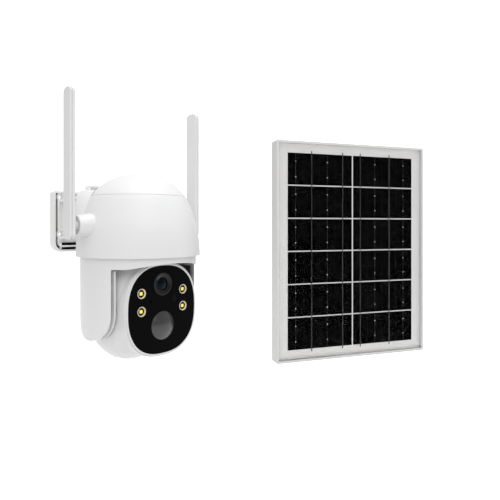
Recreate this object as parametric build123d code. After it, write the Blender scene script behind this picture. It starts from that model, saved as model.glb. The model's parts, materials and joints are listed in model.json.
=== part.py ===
from build123d import *
import math
import os

os.makedirs("parts", exist_ok=True)

# Solar-powered pan and tilt security camera with a separate solar panel, both on one wall plane.
# Millimetres. The wall is the plane Y = 0, the camera looks along -Y and +Z is up.
# The origin is the centre of the back face of the camera's wall plate.

# ---- camera housing ----
AXIS_Y = -78.0
# wall thickness, seam gap and fit play shared by the housing shells
SHELL = 2.4
SEAM = 0.2
FIT = 0.02
RIM_R = 60.0
RIM_Z = -33.4
CAP_SEAM_Z = 24.5
CAP_TOP_Z = 45.5
# outside of the round housing as (radius, height) from the rim up to the flat crown
PROFILE = [
    (RIM_R, RIM_Z),
    (58.9, -16.7),
    (56.6, -3.9),
    (52.0, 10.3),
    (45.6, CAP_SEAM_Z),
    (36.6, 34.8),
    (25.6, 41.9),
]
CROWN_R = 14.3
# rear body: height, edge rounding, lean of its seam and how it swells out of the round housing
REAR_TOP_Z = 30.0
REAR_R = 59.5
REAR_ROUND = 7.0
SEAM_LEAN = 17.0
SWELL_START = 16.0
SWELL_INSET = 6.0
SWELL_SPREAD = 22.0
SWELL_LENGTH = 30.0
# floor that closes the housing and carries the pan motor
FLOOR_Z = -30.0
FLOOR_T = 2.5
FLOOR_R = 57.0
HUB_BORE_R = 16.0
SINK = 1.6
BOSS_R = 54.0
BOSS_ANGLES = [40.0, 140.0, 220.0, 320.0]
# angles about the pan axis, anticlockwise from +X
SPEAKER_ANGLE = 147.0
SPEAKER_R = 8.0
SPEAKER_FRONT = 51.8
INLET_ANGLE = 30.0
# parts inside the housing
BOARD_Z = 6.0
BOARD_T = 1.6
BOARD_POSTS = [(-34.0, -22.0), (34.0, -22.0), (0.0, -38.0)]
CELL_R = 9.15
BATTERY_Y = AXIS_Y + 27.6
BATTERY_ZS = [-17.0, 1.5]
MOTOR_R = 17.0
MOTOR_LOW = -18.0
MOTOR_HIGH = 1.0
COVER_PIN_Z = -0.5

# ---- wall plate ----
PLATE_W = 106.0
PLATE_H = 62.0
PLATE_D = 8.0
# floor, rim and seal of the tray-shaped plate
PLATE_FLOOR = 2.0
PLATE_RIM_T = 2.2
SEAL_T = 2.0
SEAL_IN = 9.4
SEAL_SCRAP = 50.0
PLATE_ROUND = 10.0
PLATE_TAB_W = 27.0
PLATE_TAB_H = 8.0
# wall screw holes
HOLE_X = 44.0
HOLE_TOP_Z = 25.0
HOLE_LOW_Z = -13.0
WALL_HOLE_R = 2.25
ARM_W = 46.0
ARM_H = 40.0
ARM_END_Y = -17.6
ARM_START_Y = -PLATE_D + 1.5

# ---- antennas ----
ANT_X = 73.5
ANT_Y = -77.0
ANT_Z = -4.0
# paddle section: two moulded halves with a groove between them
ANT_T = 5.4
ANT_INNER_T = 3.0
ANT_GROOVE = 0.9
ANT_TURN = 5.0
ANT_SKIN = 1.0
ANT_WALL = 2.4
ANT_OUTER_ROUND = 0.9
ANT_INNER_ROUND = 0.6
ANT_GROOVE_DEPTH = 0.8
ANT_LIP_X = 59.0
ANT_W = 14.6
ANT_TOP_Z = 119.0
ANT_LOW = 12.0
ANT_TOP_ROUND = 5.0
ANT_LOW_ROUND = 4.0
ANT_ROUND_SHRINK = 0.75
# tapered boss that carries the paddle's pin
ANT_BOSS_R = 9.0
ANT_BOSS_BASE_R = 11.0
ANT_BOSS_START = 56.0
ANT_BOSS_END = 67.4
ANT_BOSS_FACE_DEPTH = 1.8
ANT_PIN_R = 4.0
PIN_PLAY = 0.06

# ---- pan yoke ----
YOKE_R = 56.0
YOKE_T = 2.5
YOKE_TOP_Z = -30.8
CEILING_T = 2.0
YOKE_ARM_HALF = 26.0
OPENING_Z = -43.4
HUB_R = 12.0
HUB_TOP_Z = -20.0
TILT_Z = -83.0
CHEEK_X = 44.3
CHEEK_T = 1.6
CHEEK_SCREW_Z = -60.0
BUSH_R = 7.5

# ---- tilting head ----
HEAD_R = 49.5
HEAD_HALF_W = 42.0
HEAD_WALL = 2.2
FACE_Y = -37.0
FACE_HALF_W = 39.3
FACE_HALF_H = 41.2
FACE_T = 1.6
# places of the parts on the face, in the plane of the face
LED_X = 24.6
LED_HIGH_Z = -66.2
LED_LOW_Z = -82.6
LENS_Z = -59.2
LENS_R = 10.9
PIR_Z = -98.4
PIR_R = 13.6
SIDE_HOLE_X = 14.6
SIDE_HOLE_Z = -74.6
LIGHT_HOLE_R = 3.8
MIC_HOLE_R = 1.2
TRUNNION_R = 5.0
SHAFT_R = 2.5
LED_POINTS = [(-LED_X, LED_HIGH_Z), (-LED_X, LED_LOW_Z), (LED_X, LED_HIGH_Z), (LED_X, LED_LOW_Z)]
HEAD_ROUND = 27.0
HEAD_SPLIT_Y = -14.0
BEZEL_W = 1.8
SHELL_GROW = 2.8
LEDGE_Y = FACE_Y + 3.6
HEAD_SCREWS = [(-22.0, -112.0), (22.0, -112.0), (-22.0, -54.0), (22.0, -54.0)]
# memory card opening under the head and its rubber flap
CARD_X0 = -23.0
CARD_X1 = -4.0
CARD_Y0 = -2.0
CARD_Y1 = 9.0
CARD_COVER_GAP = 0.35
CARD_COVER_T = 1.6
CARD_HINGE_R = CARD_COVER_T / 2
CARD_PIN_R = 0.45
CARD_PIN_PLAY = 0.05
CARD_PIN_LENGTH = 1.1
CARD_PIVOT_Y = CARD_Y1 - CARD_COVER_GAP - CARD_HINGE_R
CARD_PIVOT_Z = TILT_Z - math.sqrt((HEAD_R - CARD_HINGE_R) ** 2 - CARD_PIVOT_Y ** 2)
SCREW_SEAT_Y = 30.0
LED_R = 4.7
BOARD_Y = FACE_Y + 4.4
LENS_GLASS_R = 6.3
LENS_CONE_DEPTH = 1.3
LED_WELL_R = 3.6
DIE_SIZE = 3.0
READER_X0 = -22.0
READER_LOW_Z = TILT_Z - HEAD_R + HEAD_WALL + 1.6
READER_X1 = -9.5
# reset button beside the card slot
RESET_X = -6.8
RESET_Y = 3.0
RESET_R = 1.3
RESET_TRAVEL = 0.7

# ---- solar panel and its bracket ----
PANEL_W = 222.0
PANEL_H = 283.0
PANEL_T = 17.0
PANEL_YAW = -29.5
PANEL_LIP = 3.0
PANEL_CORNER_R = 2.2
PANEL_EDGE_R = 0.5
# twelve cells in two columns, each with four collector lines
CELL_W = 93.1
CELL_H = 40.8
CELL_GAP_X = 2.0
CELL_PITCH_Z = 42.4
CELL_T = 0.3
LINES_PER_CELL = 4
FIRST_LINE = 0.118
LINE_STEP = 0.244
# tilt pivot to the panel's front, and swivel to tilt pivot
PIVOT_TO_FACE = 45.0
ARM_REACH = 100.0
SWIVEL_X = 361.4
SWIVEL_Y = -28.0
PANEL_Z = -37.0
# wall base of the panel bracket
BASE_W = 54.0
BASE_H = 92.0
BASE_HOLE_X = 18.0
BASE_HOLE_Z = 36.0
M6_R = 3.0
FRONT_Y = -PIVOT_TO_FACE
BACK_Y = FRONT_Y + PANEL_T
GLASS_Y = FRONT_Y + 1.2
GLASS_T = 2.8
RIBBON_T = 0.15
CELL_Y = GLASS_Y + GLASS_T + RIBBON_T
LEDGE_DEPTH = 6.0
PLAY = 0.3
SADDLE_Y = BACK_Y - 0.5
LUG_IN = 9.1
LUG_OUT = 13.6
KNUCKLE_R = 9.0
PIVOT_X = SWIVEL_X + ARM_REACH * math.sin(math.radians(PANEL_YAW))
PIVOT_Y = SWIVEL_Y - ARM_REACH * math.cos(math.radians(PANEL_YAW))
PANEL_POST_XS = (-PANEL_W / 2 + 8, PANEL_W / 2 - 8)
PANEL_POST_ZS = (-PANEL_H / 2 + 8, 0, PANEL_H / 2 - 8)
PANEL_CORNERS = [(x, z) for x in PANEL_POST_XS for z in PANEL_POST_ZS]
LAMINATE_W = PANEL_W - 2 * PANEL_LIP - PLAY
LAMINATE_H = PANEL_H - 2 * PANEL_LIP - PLAY
SADDLE_POINTS = [(x, z) for x in (-25, 25) for z in (-25, 25)]
JUNCTION_Z = 78.0
JUNCTION_W = 58.0
JUNCTION_H = 36.0
GLAND_R = 4.0
GLAND_DEPTH = 6.2
KNOB_NEAR = LUG_OUT + 0.35
KNOB_FAR = 27.0
LUG_GAP = 12.35
LUG_T = 5.0


def at(x, y, z):
    return Location((x, y, z))


def span_x(a, b):
    return min(a, b), max(a, b)


def rod_z(radius, low, high, x=0.0, y=0.0):
    return at(x, y, low) * Cylinder(radius, high - low, align=(Align.CENTER, Align.CENTER, Align.MIN))


def rod_y(radius, low, high, x=0.0, z=0.0):
    body = Cylinder(radius, high - low, align=(Align.CENTER, Align.CENTER, Align.MIN))
    return Location((x, low, z), (-90, 0, 0)) * body


def rod_x(radius, low, high, y=0.0, z=0.0):
    body = Cylinder(radius, high - low, align=(Align.CENTER, Align.CENTER, Align.MIN))
    return Location((low, y, z), (0, 90, 0)) * body


def block(x0, x1, y0, y1, z0, z1):
    low = (Align.MIN, Align.MIN, Align.MIN)
    return at(x0, y0, z0) * Box(x1 - x0, y1 - y0, z1 - z0, align=low)


def save(name, shape):
    if isinstance(shape, (list, tuple)):
        shape = Compound(children=list(shape))
    export_step(shape, os.path.join("parts", name + ".step"))


def camera_axis(shape):
    return at(0, AXIS_Y, 0) * shape


# ---------------------------------------------------------------- housing

def inset_points(distance):
    """Points of the housing profile moved inwards along its own normal."""
    points = []
    last = len(PROFILE) - 1
    for i, (r, z) in enumerate(PROFILE):
        r0, z0 = PROFILE[max(i - 1, 0)]
        r1, z1 = PROFILE[min(i + 1, last)]
        length = math.hypot(r1 - r0, z1 - z0)
        points.append((r - distance * (z1 - z0) / length, z + distance * (r1 - r0) / length))
    return points


def housing_solid(distance, low):
    """The round housing as a full turn, shrunk by distance and starting at height low."""
    points = inset_points(distance)
    top = CAP_TOP_Z - distance
    curve = Spline(*[(r, 0, z) for r, z in points], (CROWN_R, 0, top))
    start = points[0]
    edges = [curve]
    edges.append(Line((CROWN_R, 0, top), (0, 0, top)))
    edges.append(Line((0, 0, top), (0, 0, start[1])))
    edges.append(Line((0, 0, start[1]), (start[0], 0, start[1])))
    solid = revolve(make_face(edges), Axis.Z)
    if low < start[1]:
        solid = solid + rod_z(start[0], low, start[1] + 0.01)
    return camera_axis(solid)

OUTER = housing_solid(0.0, RIM_Z)
INNER = housing_solid(SHELL, RIM_Z - 5)
CAP_CLEAR = housing_solid(-0.35, RIM_Z)


def half_shell_boss(angle, low, high):
    x = BOSS_R * math.cos(math.radians(angle))
    y = AXIS_Y + BOSS_R * math.sin(math.radians(angle))
    return rod_z(4.0, low, high, x, y)


def boss_holes(radius, low, high):
    holes = []
    for angle in BOSS_ANGLES:
        x = BOSS_R * math.cos(math.radians(angle))
        y = AXIS_Y + BOSS_R * math.sin(math.radians(angle))
        holes.append(rod_z(radius, low, high, x, y))
    return holes


def seam_side(low_y, high_y):
    """Slab of space on one side of the seam, which leans back as it rises."""
    slab = block(-90, 90, low_y, high_y, -60, 140)
    return Location((0, AXIS_Y, RIM_Z), (-SEAM_LEAN, 0, 0)) * slab


def make_front_shroud():
    below_cap = block(-80, 80, AXIS_Y - 80, AXIS_Y + 80, RIM_Z, CAP_SEAM_Z - SEAM / 2)
    shell = (OUTER - INNER) & seam_side(-120, -SEAM / 2) & below_cap
    bosses = [half_shell_boss(a, FLOOR_Z + FLOOR_T + 0.1, -14) & OUTER for a in BOSS_ANGLES if a > 180]
    shell = shell + bosses
    tab = block(RIM_R - 1.6, RIM_R + 1.5, AXIS_Y - 6, AXIS_Y - SEAM / 2, RIM_Z + 1.5, RIM_Z + 7.0)
    tab = fillet(tab.edges().filter_by(Axis.Y).sort_by(Axis.X)[-2:], 1.0)
    shell = shell + tab
    shell = shell - boss_holes(1.2, FLOOR_Z, -16)
    for side in (-1, 1):
        shell = shell - antenna_opening(side)
    return shell


def turn_out(side, shape):
    """Turns an antenna piece about its boss, outwards and a little towards the wall."""
    pivot = Location((side * ANT_BOSS_START, ANT_Y, 0), (0, 0, side * ANT_TURN))
    return pivot * at(-side * ANT_BOSS_START, -ANT_Y, 0) * shape


def boss_body(side, grow):
    """Boss that tapers outwards from the seam, with its root inside the housing."""
    length = ANT_BOSS_END - ANT_BOSS_START
    align = (Align.CENTER, Align.CENTER, Align.MIN)
    cone = Cone(ANT_BOSS_BASE_R + grow, ANT_BOSS_R + grow, length, align=align)
    cone = Location((side * ANT_BOSS_START, ANT_Y, ANT_Z), (0, side * 90, 0)) * cone
    root = rod_x(ANT_BOSS_BASE_R + grow, *span_x(side * 45.0, side * ANT_BOSS_START), ANT_Y, ANT_Z)
    return cone + root


def antenna_opening(side):
    """Hole across the seam that the antenna's boss fills."""
    return turn_out(side, boss_body(side, 0.02))


def make_top_cap():
    above = block(-80, 80, AXIS_Y - 80, AXIS_Y + 80, CAP_SEAM_Z + SEAM / 2, 60)
    cap = (OUTER - INNER) & above
    skirt = rod_z(41.6, CAP_SEAM_Z - 4, CAP_SEAM_Z + 3) - rod_z(39.6, CAP_SEAM_Z - 5, CAP_SEAM_Z + 4)
    cap = cap + camera_axis(skirt)
    return cap


def rear_block(radius, top, round_r, front, low):
    """Half-round rear body: radius about the pan axis, closed at the top with a rounded edge."""
    body = camera_axis(rod_z(radius, low, top))
    body = fillet(body.edges().sort_by(Axis.Z)[-1:], round_r)
    return body & block(-80, 80, front, AXIS_Y + 80, low - 1, top + 1)


def around(angle, radius, shape, z=0.0):
    """Turns a shape whose outward direction is +X to an angle about the pan axis."""
    turn = Location((0, AXIS_Y, 0), (0, 0, angle))
    return turn * at(radius, 0, z) * shape


def seam_section(distance, y):
    """Widest upright section of the round housing, as a face at the given depth."""
    points = inset_points(distance)
    top = CAP_TOP_Z - distance
    right = Spline(*[(r, y, z) for r, z in points], (CROWN_R, y, top))
    left = Spline(*[(-r, y, z) for r, z in points], (-CROWN_R, y, top))
    low = points[0][1]
    low_r = points[0][0]
    crown = Line((CROWN_R, y, top), (-CROWN_R, y, top))
    foot = Line((low_r, y, low), (-low_r, y, low))
    return make_face([right, crown, left, foot])


def rear_swell(distance):
    """Solid that starts inside the round housing and spreads towards the wall."""
    start_y = AXIS_Y + SWELL_START
    near = seam_section(distance + SWELL_INSET, start_y)
    far = seam_section(distance + SWELL_INSET - SWELL_SPREAD, start_y + SWELL_LENGTH)
    swell = loft([near, far], ruled=True)
    return swell + block(-90, 90, start_y + SWELL_LENGTH, 0, -80, 90)

REAR_OUTER = rear_block(REAR_R, REAR_TOP_Z, REAR_ROUND, AXIS_Y, RIM_Z) & rear_swell(0.0)
REAR_OUTER = REAR_OUTER + OUTER
REAR_INNER = rear_block(REAR_R - SHELL, REAR_TOP_Z - SHELL, REAR_ROUND - SHELL, AXIS_Y, RIM_Z - 5)
REAR_INNER = (REAR_INNER & rear_swell(SHELL)) + INNER


def make_rear_housing():
    behind = seam_side(SEAM / 2, 120) & block(-80, 80, AXIS_Y - 20, 0, RIM_Z, 80)
    neck = block(-ARM_W / 2, ARM_W / 2, ARM_END_Y - 22, ARM_END_Y, -ARM_H / 2, ARM_H / 2)
    neck = fillet(neck.edges().filter_by(Axis.Y), 5)
    body = (REAR_OUTER & behind) + neck
    body = body - REAR_INNER
    body = body - (CAP_CLEAR & block(-80, 80, AXIS_Y - 80, AXIS_Y + 80, CAP_SEAM_Z - 0.1, 60))
    rear_angles = [angle for angle in BOSS_ANGLES if angle < 180]
    body = body + [half_shell_boss(angle, FLOOR_Z + FLOOR_T + 0.1, -14) & REAR_OUTER for angle in rear_angles]
    body = body - boss_holes(1.2, FLOOR_Z, -16)
    # two screws come in from the arm
    for side in (-1, 1):
        body = body - rod_y(1.5, ARM_END_Y - 12, ARM_END_Y + 1, side * 14, 0)
    for side in (-1, 1):
        body = body - antenna_opening(side)
    # speaker grille
    for ring, count in ((0.0, 1), (3.2, 6), (6.2, 12)):
        for i in range(count):
            turn = 2 * math.pi * i / count
            hole = rod_x(0.8, -8, 8, ring * math.cos(turn), ring * math.sin(turn))
            body = body - around(SPEAKER_ANGLE, RIM_R, hole, 0)
    body = body - around(INLET_ANGLE, RIM_R, block(-12, 4, -5.05, 5.05, -2.25, 2.25), -6)
    return body


def make_floor():
    floor = rod_z(FLOOR_R, FLOOR_Z, FLOOR_Z + FLOOR_T)
    floor = floor - rod_z(HUB_BORE_R, FLOOR_Z - 1, FLOOR_Z + 4)
    floor = camera_axis(floor)
    # motor posts and board posts
    for side in (-1, 1):
        floor = floor + rod_z(3.5, FLOOR_Z + 1, -18.2, side * 23, AXIS_Y)
        floor = floor - rod_z(1.1, -28, -17, side * 23, AXIS_Y)
    for x, y in BOARD_POSTS:
        floor = floor + rod_z(3.0, FLOOR_Z + 1, BOARD_Z, x, AXIS_Y + y)
        floor = floor - rod_z(1.0, BOARD_Z - 9, BOARD_Z + 1, x, AXIS_Y + y)
    floor = floor - boss_holes(1.4, FLOOR_Z - 1, FLOOR_Z + 4)
    floor = floor - boss_holes(2.9, FLOOR_Z - 1, FLOOR_Z + SINK)
    return floor


def pan_screw(x, y, head_low, head_high, tip, head_r, shank_r):
    """Screw standing on its head or tip along Z, with a cross recess."""
    head = rod_z(head_r, head_low, head_high, x, y)
    if tip > head_high:
        shank = rod_z(shank_r, head_high, tip, x, y)
        mouth = head_low
        deep = head_low + (head_high - head_low) * 0.55
    else:
        shank = rod_z(shank_r, tip, head_low, x, y)
        mouth = head_high
        deep = head_high - (head_high - head_low) * 0.55
    low, high = min(mouth, deep), max(mouth, deep)
    size = head_r * 0.6
    cross = block(x - size, x + size, y - 0.25, y + 0.25, low, high)
    cross = cross + block(x - 0.25, x + 0.25, y - size, y + size, low, high)
    return (head + shank) - cross


def make_floor_screws():
    screws = []
    for angle in BOSS_ANGLES:
        x = BOSS_R * math.cos(math.radians(angle))
        y = AXIS_Y + BOSS_R * math.sin(math.radians(angle))
        screws.append(pan_screw(x, y, FLOOR_Z, FLOOR_Z + SINK, -18, 2.8, 1.2))
    return screws


def make_board():
    board = camera_axis(rod_z(46, BOARD_Z, BOARD_Z + BOARD_T))
    board = board & block(-46, 46, AXIS_Y - 46, AXIS_Y + 12, 0, 20)
    for side in (-1, 1):
        x0, x1 = span_x(side * 44, side * 60)
        board = board - block(x0, x1, AXIS_Y - 12, AXIS_Y + 20, 0, 20)
    for x, y in BOARD_POSTS:
        board = board - rod_z(1.3, 0, 20, x, AXIS_Y + y)
    return board


def make_board_screws():
    screws = []
    for x, y in BOARD_POSTS:
        top = BOARD_Z + BOARD_T
        screws.append(pan_screw(x, AXIS_Y + y, top, top + 1.6, BOARD_Z - 7, 2.4, 1.0))
    return screws


def make_radio():
    top = BOARD_Z + BOARD_T
    can = block(-12, 12, AXIS_Y - 30, AXIS_Y - 12, top, top + 2.6)
    can = fillet(can.edges().group_by(Axis.Z)[-1], 0.6)
    stub = [block(x, x + 3, AXIS_Y - 11.5, AXIS_Y - 8.5, top, top + 1.2) for x in (-9, 6)]
    return [can] + stub


def make_processor():
    top = BOARD_Z + BOARD_T
    base = block(-11, 11, AXIS_Y - 5, AXIS_Y + 9, top, top + 2.0)
    fins = [block(x, x + 1.0, AXIS_Y - 5, AXIS_Y + 9, top + 1.9, top + 7.0) for x in range(-11, 11, 3)]
    return base + fins


def make_board_parts():
    top = BOARD_Z + BOARD_T
    pieces = []
    for x in (-34, -28, 22, 28):
        pieces.append(block(x, x + 4.5, AXIS_Y - 12, AXIS_Y - 6, top, top + 4.2))
    for x in (-30, 24):
        pieces.append(rod_z(3.2, top, top + 8.5, x, AXIS_Y + 4))
    return pieces


def make_battery_cells():
    cells = []
    for z in BATTERY_ZS:
        can = rod_x(CELL_R, -32.4, 31.2, BATTERY_Y, z)
        can = fillet(can.edges(), 0.7)
        cells.append(can + rod_x(2.9, 31.1, 32.5, BATTERY_Y, z))
    return cells


def make_battery_holder():
    wall = 1.4
    low = FLOOR_Z + FLOOR_T
    high = BATTERY_ZS[-1] + 4
    ends = []
    for side in (-1, 1):
        x0, x1 = span_x(side * 33.0, side * (33.0 + wall))
        ends.append(block(x0, x1, BATTERY_Y - 7, BATTERY_Y + CELL_R - 1.2, low, high))
    spine = block(-34.4, 34.4, BATTERY_Y + CELL_R - 3.2, BATTERY_Y + CELL_R - 1.2, low, high)
    holder = spine + ends
    for z in BATTERY_ZS:
        holder = holder - rod_x(CELL_R + 0.1, -32.8, 32.8, BATTERY_Y, z)
    return holder


def make_speaker():
    frame = rod_x(SPEAKER_R, -4.8, 0) - rod_x(SPEAKER_R - 1.2, -1.6, 1)
    magnet = rod_x(SPEAKER_R - 3.0, -6.6, -4.7)
    return around(SPEAKER_ANGLE, SPEAKER_FRONT, frame + magnet, 0)


def make_speaker_cone():
    cone = rod_x(SPEAKER_R - 1.3, -1.6, -0.7) + rod_x(2.6, -0.8, -0.3)
    return around(SPEAKER_ANGLE, SPEAKER_FRONT, cone, 0)


def make_pan_motor():
    can = rod_z(MOTOR_R, MOTOR_LOW, MOTOR_HIGH)
    can = fillet(can.edges().sort_by(Axis.Z)[-1:], 1.2)
    ears = block(-27, 27, -3.5, 3.5, MOTOR_LOW, MOTOR_LOW + 1.0)
    body = can + ears
    for side in (-1, 1):
        body = body - rod_z(1.3, -20, -10, side * 23, 0)
    body = body - rod_z(2.56, MOTOR_LOW - 1, MOTOR_LOW + 6)
    return camera_axis(body)


def make_motor_screws():
    top = MOTOR_LOW + 1.0
    return [pan_screw(side * 23, AXIS_Y, top, top + 1.5, -26, 2.3, 1.1) for side in (-1, 1)]


def make_pan_bearing():
    ring = rod_z(HUB_BORE_R, FLOOR_Z, FLOOR_Z + FLOOR_T) - rod_z(HUB_R + 0.05, -40, -10)
    floor_top = FLOOR_Z + FLOOR_T
    flange = rod_z(HUB_BORE_R + 2, floor_top, floor_top + 0.8) - rod_z(HUB_R + 0.05, -40, -10)
    return camera_axis(ring + flange)


def make_rim_seal():
    ring = rod_z(FLOOR_R + 0.28, FLOOR_Z + 0.4, FLOOR_Z + 1.6) - rod_z(FLOOR_R, FLOOR_Z, FLOOR_Z + 3)
    return camera_axis(ring)


def make_inlet():
    shell = block(-9.5, -0.6, -4.9, 4.9, -2.1, 2.1) - block(-7.5, 0.5, -4.4, 4.4, -1.55, 1.55)
    tongue = block(-7.6, -1.6, -3.2, 3.2, -0.35, 0.35)
    return around(INLET_ANGLE, RIM_R, shell + tongue, -6)


def make_inlet_board():
    return around(INLET_ANGLE, RIM_R, block(-11.1, -9.5, -7, 7, -6, 6), -6)


def make_inlet_cover():
    flap = block(0.5, 2.1, -8, 8, -11, -2.4)
    flap = fillet(flap.edges().filter_by(Axis.X), 1.5)
    barrel = rod_y(1.4, -5, 5, 1.7, COVER_PIN_Z) - rod_y(0.76, -8, 8, 1.7, COVER_PIN_Z)
    strap = block(1.0, 2.0, -5, 5, -3.0, COVER_PIN_Z - 0.9)
    grip = block(2.0, 3.0, -4, 4, -10, -8.8)
    return around(INLET_ANGLE, RIM_R, flap + barrel + strap + grip, 0)


def make_inlet_hinge():
    pin = rod_y(0.7, -7.5, 7.5, 1.7, COVER_PIN_Z)
    ears = []
    for side in (-1, 1):
        y0 = min(side * 5.4, side * 7.5)
        ears.append(block(-1.6, 2.9, y0, y0 + 2.1, COVER_PIN_Z - 1.2, COVER_PIN_Z + 1.6))
    hinge = around(INLET_ANGLE, RIM_R, pin + ears, 0)
    return hinge - REAR_OUTER


# ---------------------------------------------------------------- wall plate and arm

def plate_outline(grow, low, high):
    w = PLATE_W / 2 + grow
    h = PLATE_H / 2 + grow
    body = block(-w, w, low, high, -h, h)
    verticals = body.edges().filter_by(Axis.Y).sort_by(Axis.Z)
    body = fillet(verticals[:2], PLATE_ROUND + grow)
    top = body.edges().filter_by(Axis.Y).sort_by(Axis.Z)[-2:]
    return fillet(top, max(2.5 + grow, 0.4))


def make_wall_plate():
    plate = plate_outline(0.0, -PLATE_D, 0.0)
    tab = block(-PLATE_TAB_W / 2, PLATE_TAB_W / 2, -PLATE_D, 0, PLATE_H / 2 - 1, PLATE_H / 2 + PLATE_TAB_H)
    tab = fillet(tab.edges().filter_by(Axis.Y).sort_by(Axis.Z)[-2:], 2.0)
    plate = plate + tab
    recess = plate_outline(-PLATE_RIM_T, -PLATE_D - 1, -PLATE_FLOOR)
    slot = block(-PLATE_TAB_W / 2 + 2, PLATE_TAB_W / 2 - 2, -PLATE_D - 1, -PLATE_FLOOR,
                 PLATE_H / 2 - 4, PLATE_H / 2 + PLATE_TAB_H - 2)
    plate = plate - recess - slot
    # second wall inside the rim
    inner = plate_outline(-5.0, -PLATE_D + 0.8, -PLATE_FLOOR + 0.1)
    inner = inner - plate_outline(-6.6, -PLATE_D - 1, 0)
    plate = plate + inner
    # screw bosses joined by round ribs
    for side in (-1, 1):
        for z in (HOLE_TOP_Z, HOLE_LOW_Z):
            plate = plate + rod_y(5.0, -PLATE_D + 1.0, -0.5, side * HOLE_X, z)
        rib = rod_z(1.5, HOLE_LOW_Z + 4, HOLE_TOP_Z - 4, side * HOLE_X, -PLATE_FLOOR - 1.2)
        plate = plate + rib
        plate = plate + block(side * HOLE_X - 1, side * HOLE_X + 1, -5.5, -1, -PLATE_H / 2 + 3, HOLE_LOW_Z)
    for side in (-1, 1):
        for z in (HOLE_TOP_Z, HOLE_LOW_Z):
            plate = plate - rod_y(WALL_HOLE_R, -20, 1, side * HOLE_X, z)
            plate = plate - rod_y(3.6, -20, -PLATE_D + 2.6, side * HOLE_X, z)
    # seat and screw holes for the arm
    plate = plate + block(-ARM_W / 2 - 2, ARM_W / 2 + 2, -PLATE_D + 1.5, -1, -ARM_H / 2 - 2, ARM_H / 2 + 2)
    for side in (-1, 1):
        plate = plate - rod_y(1.7, -20, 1, side * 14, 0)
        plate = plate - rod_y(3.6, -2.2, 1, side * 14, 0)
    return plate


def make_wall_seal():
    """Black weather seal in the grooves round the wall plate's edge."""
    low = -PLATE_FLOOR - SEAL_T
    seal = plate_outline(-PLATE_RIM_T, low, -PLATE_FLOOR) - plate_outline(-SEAL_IN, low - 1, 0)
    seal = seal - make_wall_plate()
    return [piece for piece in seal.solids() if piece.volume > SEAL_SCRAP]


def make_bracket_arm():
    arm = block(-ARM_W / 2, ARM_W / 2, ARM_END_Y, ARM_START_Y, -ARM_H / 2, ARM_H / 2)
    arm = fillet(arm.edges().filter_by(Axis.Y), 5)
    w = ARM_W / 2 - 3
    h = ARM_H / 2 - 3
    pocket = block(-w, w, ARM_END_Y - 1, ARM_START_Y + 1, -h, h)
    arm = arm - pocket
    posts = [rod_y(3.6, ARM_END_Y, ARM_START_Y, side * 14, 0) for side in (-1, 1)]
    web = block(-ARM_W / 2 + 1, ARM_W / 2 - 1, ARM_END_Y, ARM_START_Y, -1.2, 1.2)
    arm = arm + posts + web
    for side in (-1, 1):
        arm = arm - rod_y(1.7, -40, 1, side * 14, 0)
    return arm


def make_arm_screws():
    screws = []
    for side in (-1, 1):
        head = rod_y(3.3, -2.2, -0.5, side * 14, 0)
        shank = rod_y(1.5, ARM_END_Y - 10, -2.1, side * 14, 0)
        cross = block(side * 14 - 2, side * 14 + 2, -1.3, 0, -0.3, 0.3)
        cross = cross + block(side * 14 - 0.3, side * 14 + 0.3, -1.3, 0, -2, 2)
        screws.append(head + shank - cross)
    return screws


# ---------------------------------------------------------------- antennas

def antenna_blade(x0, x1, shrink=0.0):
    """Flat paddle with rounded ends, its lower end a little below the pivot."""
    half = ANT_W / 2 - shrink
    blade = block(x0, x1, ANT_Y - half, ANT_Y + half, ANT_Z - ANT_LOW + shrink, ANT_TOP_Z - shrink)
    edges = blade.edges().filter_by(Axis.X).sort_by(Axis.Z)
    blade = fillet(edges[:2], ANT_LOW_ROUND - shrink * ANT_ROUND_SHRINK)
    edges = blade.edges().filter_by(Axis.X).sort_by(Axis.Z)
    return fillet(edges[-2:], ANT_TOP_ROUND - shrink * ANT_ROUND_SHRINK)


def antenna_span(side, near, far):
    """X range of a layer, measured outwards from the inner face of the paddle."""
    a = side * (ANT_X - ANT_T / 2 + near)
    b = side * (ANT_X - ANT_T / 2 + far)
    return min(a, b), max(a, b)


def make_antenna_outer(side):
    x0, x1 = antenna_span(side, ANT_INNER_T + ANT_GROOVE, ANT_T)
    shell = antenna_blade(x0, x1)
    face = shell.faces().sort_by(Axis.X)[0 if side < 0 else -1]
    shell = fillet(face.edges(), ANT_OUTER_ROUND)
    return turn_out(side, shell)


def make_antenna_inner(side):
    x0, x1 = antenna_span(side, 0.0, ANT_INNER_T)
    shell = antenna_blade(x0, x1)
    face = shell.faces().sort_by(Axis.X)[-1 if side < 0 else 0]
    shell = fillet(face.edges(), ANT_INNER_ROUND)
    s0, s1 = antenna_span(side, ANT_INNER_T - 0.1, ANT_INNER_T + ANT_GROOVE)
    step = antenna_blade(s0, s1, ANT_GROOVE_DEPTH)
    p0, p1 = antenna_span(side, ANT_SKIN, ANT_INNER_T + ANT_GROOVE + 0.1)
    shell = (shell + step) - antenna_blade(p0, p1, ANT_WALL)
    return turn_out(side, shell + make_antenna_pin(side))


def make_antenna_pin(side):
    """Hinge pin from the socket into the paddle."""
    pin = rod_x(ANT_PIN_R, *span_x(side * ANT_LIP_X, side * (ANT_X - ANT_T / 2)), ANT_Y, ANT_Z)
    lip = rod_x(ANT_PIN_R + 1.2, *span_x(side * (ANT_LIP_X - 1), side * ANT_LIP_X), ANT_Y, ANT_Z)
    return pin + lip


def make_radiator(side):
    x0, x1 = antenna_span(side, ANT_SKIN, ANT_SKIN + 0.8)
    strip = block(x0, x1, ANT_Y - 3.6, ANT_Y + 3.6, ANT_Z + 18, ANT_TOP_Z - 14)
    return turn_out(side, strip)


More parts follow.
